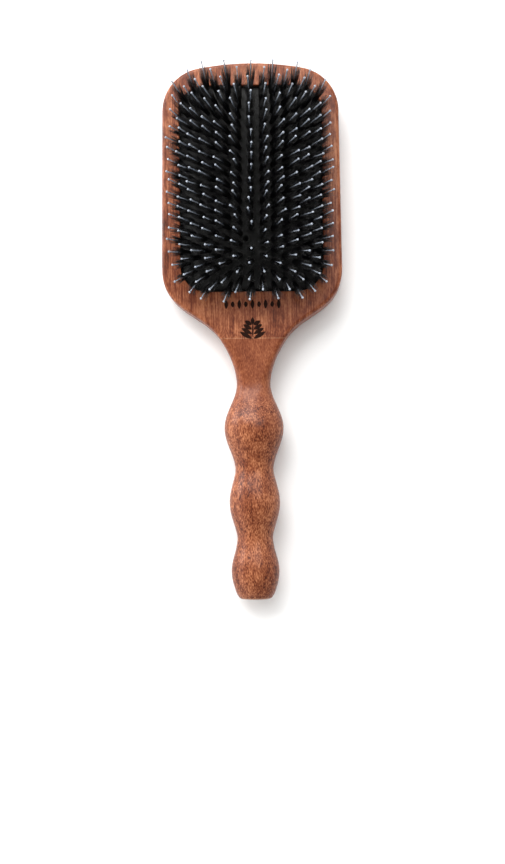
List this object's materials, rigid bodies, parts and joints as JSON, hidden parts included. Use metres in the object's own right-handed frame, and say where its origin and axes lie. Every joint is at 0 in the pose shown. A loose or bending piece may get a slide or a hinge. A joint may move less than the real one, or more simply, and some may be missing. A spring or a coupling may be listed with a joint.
{
  "type": "paddle hair brush",
  "caption": "Wooden paddle hair brush with a turned handle and a domed rubber air cushion holding tufts of boar bristle, each round a ball-tipped nylon quill.",
  "frame": {"origin": "on the flat back of the head, under the middle of the cushion", "axes": "+Z out of the bristles, +Y along the brush from the handle to the far end of the head, +X to the right seen from the bristle side with the head up"},
  "size_m": [0.0824, 0.2452, 0.04],
  "materials": {
    "lacquered_wood": "reddish-brown hardwood, close flecked grain, clear lacquer",
    "black_rubber": "matt black moulded rubber",
    "clear_nylon": "pale translucent nylon",
    "boar_bristle": "black boar bristle",
    "staple_steel": "plain flat wire"
  },
  "bodies": {
    "brush_body": {"wooden_body": "lacquered_wood", "rubber_cushion": "black_rubber"},
    "staples_07": {"tuft_staples_07": "staple_steel"},
    "bristles_07": {"nylon_quills_07": "clear_nylon", "boar_tufts_07": "boar_bristle"},
    "staples_01": {"tuft_staples_01": "staple_steel"},
    "bristles_01": {"nylon_quills_01": "clear_nylon", "boar_tufts_01": "boar_bristle"},
    "staples_02": {"tuft_staples_02": "staple_steel"},
    "bristles_02": {"nylon_quills_02": "clear_nylon", "boar_tufts_02": "boar_bristle"},
    "staples_03": {"tuft_staples_03": "staple_steel"},
    "bristles_03": {"nylon_quills_03": "clear_nylon", "boar_tufts_03": "boar_bristle"},
    "staples_04": {"tuft_staples_04": "staple_steel"},
    "bristles_04": {"nylon_quills_04": "clear_nylon", "boar_tufts_04": "boar_bristle"},
    "staples_05": {"tuft_staples_05": "staple_steel"},
    "bristles_05": {"nylon_quills_05": "clear_nylon", "boar_tufts_05": "boar_bristle"},
    "staples_06": {"tuft_staples_06": "staple_steel"},
    "bristles_06": {"nylon_quills_06": "clear_nylon", "boar_tufts_06": "boar_bristle"},
    "staples_08": {"tuft_staples_08": "staple_steel"},
    "bristles_08": {"nylon_quills_08": "clear_nylon", "boar_tufts_08": "boar_bristle"},
    "staples_09": {"tuft_staples_09": "staple_steel"},
    "bristles_09": {"nylon_quills_09": "clear_nylon", "boar_tufts_09": "boar_bristle"},
    "staples_10": {"tuft_staples_10": "staple_steel"},
    "bristles_10": {"nylon_quills_10": "clear_nylon", "boar_tufts_10": "boar_bristle"},
    "staples_11": {"tuft_staples_11": "staple_steel"},
    "bristles_11": {"nylon_quills_11": "clear_nylon", "boar_tufts_11": "boar_bristle"},
    "staples_12": {"tuft_staples_12": "staple_steel"},
    "bristles_12": {"nylon_quills_12": "clear_nylon", "boar_tufts_12": "boar_bristle"},
    "staples_13": {"tuft_staples_13": "staple_steel"},
    "bristles_13": {"nylon_quills_13": "clear_nylon", "boar_tufts_13": "boar_bristle"}
  },
  "joints": [
    {"name": "column_07_sink", "type": "slide", "parent": "brush_body", "child": "staples_07", "axis": [0, 0, 1], "range_m": [-0.004, 0], "stiffness_N_per_m": 150, "springref_m": 0.0006, "deforming": ["rubber_cushion"]},
    {"name": "column_07_lean", "type": "hinge", "parent": "staples_07", "child": "bristles_07", "pos_m": [0, 0, 0.01964], "axis": [0, 1, 0], "range_deg": [-8, 8], "stiffness_Nm_per_rad": 0.03},
    {"name": "column_01_sink", "type": "slide", "parent": "brush_body", "child": "staples_01", "axis": [0, 0, 1], "range_m": [-0.000653, 0], "stiffness_N_per_m": 150, "springref_m": 0.0006},
    {"name": "column_01_lean", "type": "hinge", "parent": "staples_01", "child": "bristles_01", "pos_m": [-0.0285, 0, 0.01376], "axis": [0, 1, 0], "range_deg": [-8, 8], "stiffness_Nm_per_rad": 0.03},
    {"name": "column_02_sink", "type": "slide", "parent": "brush_body", "child": "staples_02", "axis": [0, 0, 1], "range_m": [-0.00143, 0], "stiffness_N_per_m": 150, "springref_m": 0.0006},
    {"name": "column_02_lean", "type": "hinge", "parent": "staples_02", "child": "bristles_02", "pos_m": [-0.02375, 0, 0.01517], "axis": [0, 1, 0], "range_deg": [-8, 8], "stiffness_Nm_per_rad": 0.03},
    {"name": "column_03_sink", "type": "slide", "parent": "brush_body", "child": "staples_03", "axis": [0, 0, 1], "range_m": [-0.0022, 0], "stiffness_N_per_m": 150, "springref_m": 0.0006},
    {"name": "column_03_lean", "type": "hinge", "parent": "staples_03", "child": "bristles_03", "pos_m": [-0.019, 0, 0.01646], "axis": [0, 1, 0], "range_deg": [-8, 8], "stiffness_Nm_per_rad": 0.03},
    {"name": "column_04_sink", "type": "slide", "parent": "brush_body", "child": "staples_04", "axis": [0, 0, 1], "range_m": [-0.00292, 0], "stiffness_N_per_m": 150, "springref_m": 0.0006},
    {"name": "column_04_lean", "type": "hinge", "parent": "staples_04", "child": "bristles_04", "pos_m": [-0.01425, 0, 0.01795], "axis": [0, 1, 0], "range_deg": [-8, 8], "stiffness_Nm_per_rad": 0.03},
    {"name": "column_05_sink", "type": "slide", "parent": "brush_body", "child": "staples_05", "axis": [0, 0, 1], "range_m": [-0.00349, 0], "stiffness_N_per_m": 150, "springref_m": 0.0006},
    {"name": "column_05_lean", "type": "hinge", "parent": "staples_05", "child": "bristles_05", "pos_m": [-0.0095, 0, 0.01878], "axis": [0, 1, 0], "range_deg": [-8, 8], "stiffness_Nm_per_rad": 0.03},
    {"name": "column_06_sink", "type": "slide", "parent": "brush_body", "child": "staples_06", "axis": [0, 0, 1], "range_m": [-0.00387, 0], "stiffness_N_per_m": 150, "springref_m": 0.0006},
    {"name": "column_06_lean", "type": "hinge", "parent": "staples_06", "child": "bristles_06", "pos_m": [-0.00475, 0, 0.01974], "axis": [0, 1, 0], "range_deg": [-8, 8], "stiffness_Nm_per_rad": 0.03},
    {"name": "column_08_sink", "type": "slide", "parent": "brush_body", "child": "staples_08", "axis": [0, 0, 1], "range_m": [-0.00387, 0], "stiffness_N_per_m": 150, "springref_m": 0.0006},
    {"name": "column_08_lean", "type": "hinge", "parent": "staples_08", "child": "bristles_08", "pos_m": [0.00475, 0, 0.01974], "axis": [0, 1, 0], "range_deg": [-8, 8], "stiffness_Nm_per_rad": 0.03},
    {"name": "column_09_sink", "type": "slide", "parent": "brush_body", "child": "staples_09", "axis": [0, 0, 1], "range_m": [-0.00349, 0], "stiffness_N_per_m": 150, "springref_m": 0.0006},
    {"name": "column_09_lean", "type": "hinge", "parent": "staples_09", "child": "bristles_09", "pos_m": [0.0095, 0, 0.01878], "axis": [0, 1, 0], "range_deg": [-8, 8], "stiffness_Nm_per_rad": 0.03},
    {"name": "column_10_sink", "type": "slide", "parent": "brush_body", "child": "staples_10", "axis": [0, 0, 1], "range_m": [-0.00292, 0], "stiffness_N_per_m": 150, "springref_m": 0.0006},
    {"name": "column_10_lean", "type": "hinge", "parent": "staples_10", "child": "bristles_10", "pos_m": [0.01425, 0, 0.01795], "axis": [0, 1, 0], "range_deg": [-8, 8], "stiffness_Nm_per_rad": 0.03},
    {"name": "column_11_sink", "type": "slide", "parent": "brush_body", "child": "staples_11", "axis": [0, 0, 1], "range_m": [-0.0022, 0], "stiffness_N_per_m": 150, "springref_m": 0.0006},
    {"name": "column_11_lean", "type": "hinge", "parent": "staples_11", "child": "bristles_11", "pos_m": [0.019, 0, 0.01646], "axis": [0, 1, 0], "range_deg": [-8, 8], "stiffness_Nm_per_rad": 0.03},
    {"name": "column_12_sink", "type": "slide", "parent": "brush_body", "child": "staples_12", "axis": [0, 0, 1], "range_m": [-0.00143, 0], "stiffness_N_per_m": 150, "springref_m": 0.0006},
    {"name": "column_12_lean", "type": "hinge", "parent": "staples_12", "child": "bristles_12", "pos_m": [0.02375, 0, 0.01517], "axis": [0, 1, 0], "range_deg": [-8, 8], "stiffness_Nm_per_rad": 0.03},
    {"name": "column_13_sink", "type": "slide", "parent": "brush_body", "child": "staples_13", "axis": [0, 0, 1], "range_m": [-0.000653, 0], "stiffness_N_per_m": 150, "springref_m": 0.0006},
    {"name": "column_13_lean", "type": "hinge", "parent": "staples_13", "child": "bristles_13", "pos_m": [0.0285, 0, 0.01376], "axis": [0, 1, 0], "range_deg": [-8, 8], "stiffness_Nm_per_rad": 0.03}
  ],
  "couplings": [
    {"joint": "column_01_sink", "follows": "column_07_sink", "ratio": 0.1632},
    {"joint": "column_01_lean", "follows": "column_07_lean", "ratio": 1},
    {"joint": "column_02_sink", "follows": "column_07_sink", "ratio": 0.3571},
    {"joint": "column_02_lean", "follows": "column_07_lean", "ratio": 1},
    {"joint": "column_03_sink", "follows": "column_07_sink", "ratio": 0.55},
    {"joint": "column_03_lean", "follows": "column_07_lean", "ratio": 1},
    {"joint": "column_04_sink", "follows": "column_07_sink", "ratio": 0.7288},
    {"joint": "column_04_lean", "follows": "column_07_lean", "ratio": 1},
    {"joint": "column_05_sink", "follows": "column_07_sink", "ratio": 0.8735},
    {"joint": "column_05_lean", "follows": "column_07_lean", "ratio": 1},
    {"joint": "column_06_sink", "follows": "column_07_sink", "ratio": 0.9674},
    {"joint": "column_06_lean", "follows": "column_07_lean", "ratio": 1},
    {"joint": "column_08_sink", "follows": "column_07_sink", "ratio": 0.9674},
    {"joint": "column_08_lean", "follows": "column_07_lean", "ratio": 1},
    {"joint": "column_09_sink", "follows": "column_07_sink", "ratio": 0.8735},
    {"joint": "column_09_lean", "follows": "column_07_lean", "ratio": 1},
    {"joint": "column_10_sink", "follows": "column_07_sink", "ratio": 0.7288},
    {"joint": "column_10_lean", "follows": "column_07_lean", "ratio": 1},
    {"joint": "column_11_sink", "follows": "column_07_sink", "ratio": 0.55},
    {"joint": "column_11_lean", "follows": "column_07_lean", "ratio": 1},
    {"joint": "column_12_sink", "follows": "column_07_sink", "ratio": 0.3571},
    {"joint": "column_12_lean", "follows": "column_07_lean", "ratio": 1},
    {"joint": "column_13_sink", "follows": "column_07_sink", "ratio": 0.1632},
    {"joint": "column_13_lean", "follows": "column_07_lean", "ratio": 1}
  ]
}
